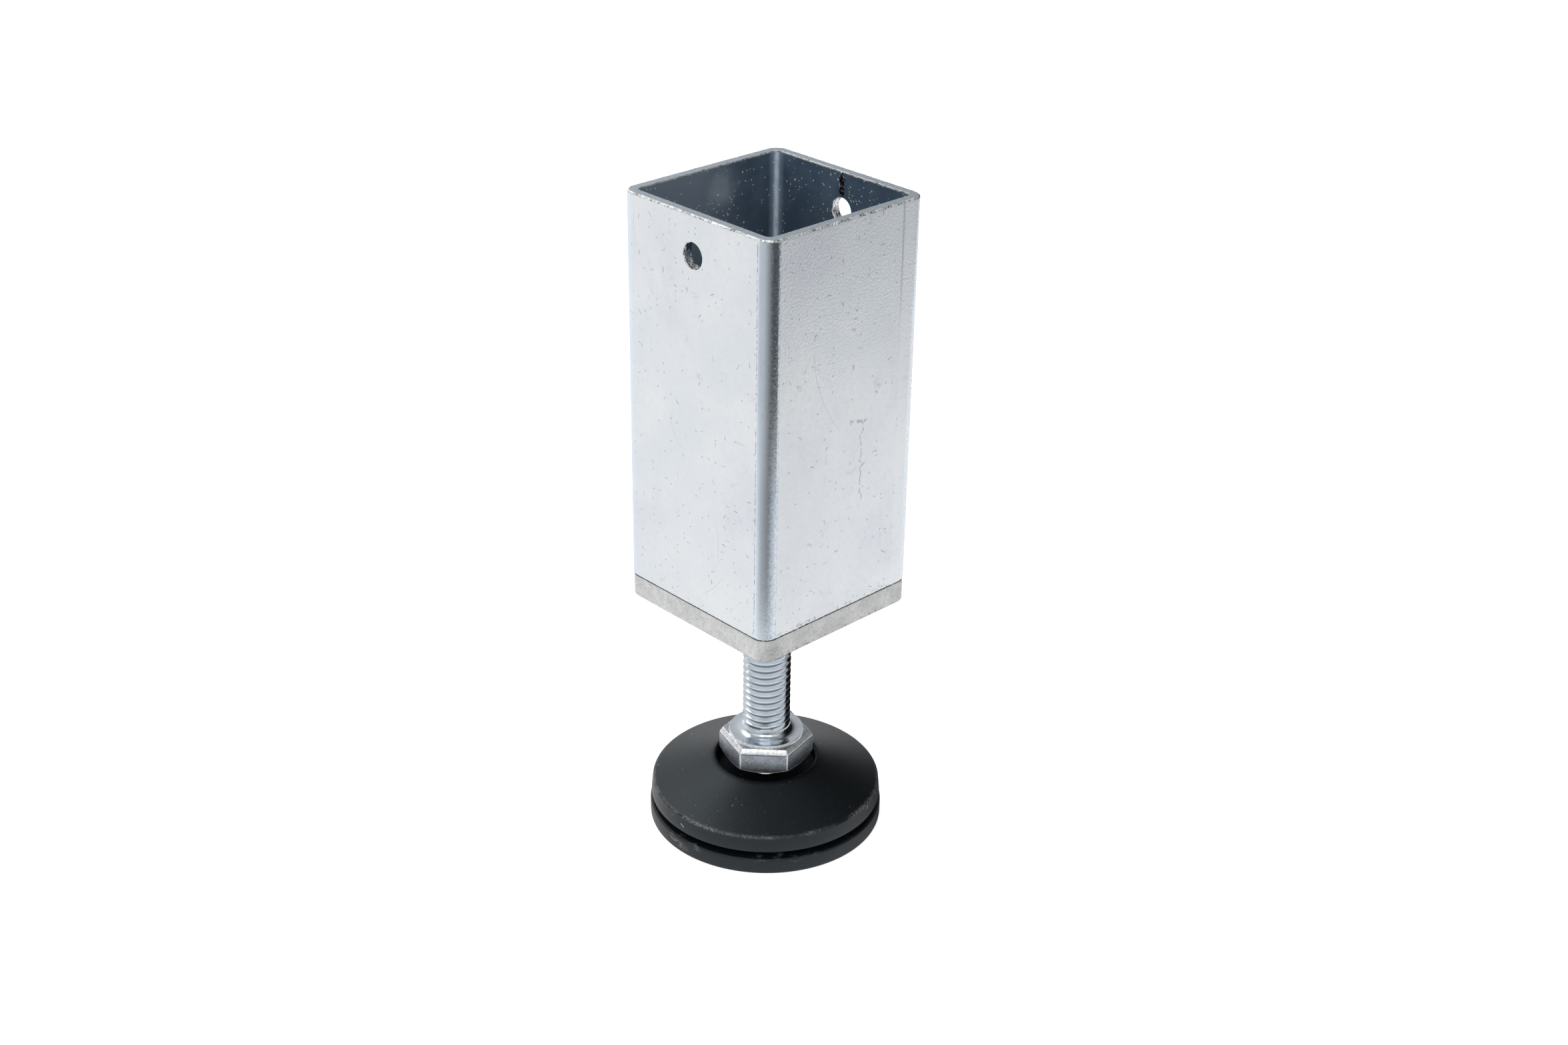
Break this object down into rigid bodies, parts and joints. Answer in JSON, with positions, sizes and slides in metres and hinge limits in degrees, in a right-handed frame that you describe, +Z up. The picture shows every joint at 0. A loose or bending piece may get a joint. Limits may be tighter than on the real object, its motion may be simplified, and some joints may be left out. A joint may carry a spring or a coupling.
{
  "type": "adjustable furniture foot",
  "caption": "Adjustable foot for a square furniture leg: plated square sleeve, cast end plug, threaded spindle with hexagon, swivelling plastic base and rubber pad.",
  "frame": {"origin": "middle of the floor pad's underside, where the foot stands", "axes": "+Z up along the spindle, +Y and -Y through the tube walls that have the cross holes, +X through a plain wall"},
  "size_m": [0.0486, 0.0486, 0.1364],
  "materials": {
    "zinc_plated_tube": "welded steel tube with bright blue-white zinc plating, faint scratches, sparkling saw-cut rim, dark inside",
    "cast_metal": "matte warm grey casting, grainy, with darker blotches",
    "zinc_plated_spindle": "bright zinc plating on a forged screw, worn white along the hexagon's edges",
    "black_plastic": "black moulded plastic, satin and finely grained, paler where the shoulder is rubbed",
    "black_rubber": "black rubber with pale scuffs on its edge"
  },
  "bodies": {
    "base": {"base_cap": "black_plastic", "floor_pad": "black_rubber"},
    "spindle": {"spindle": "zinc_plated_spindle"},
    "sleeve": {"square_tube": "zinc_plated_tube", "end_plug": "cast_metal"}
  },
  "joints": [
    {"name": "height_adjust", "type": "slide", "parent": "base", "child": "sleeve", "axis": [0, 0, 1], "range_m": [-0.031, 0.018]},
    {"name": "spindle_turn", "type": "hinge", "parent": "base", "child": "spindle", "pos_m": [0, 0, 0.0084], "axis": [0, 0, 1], "range_deg": [-4330, 7450]}
  ],
  "couplings": [
    {"joint": "spindle_turn", "follows": "height_adjust", "rad_per_m": -4188.8}
  ]
}
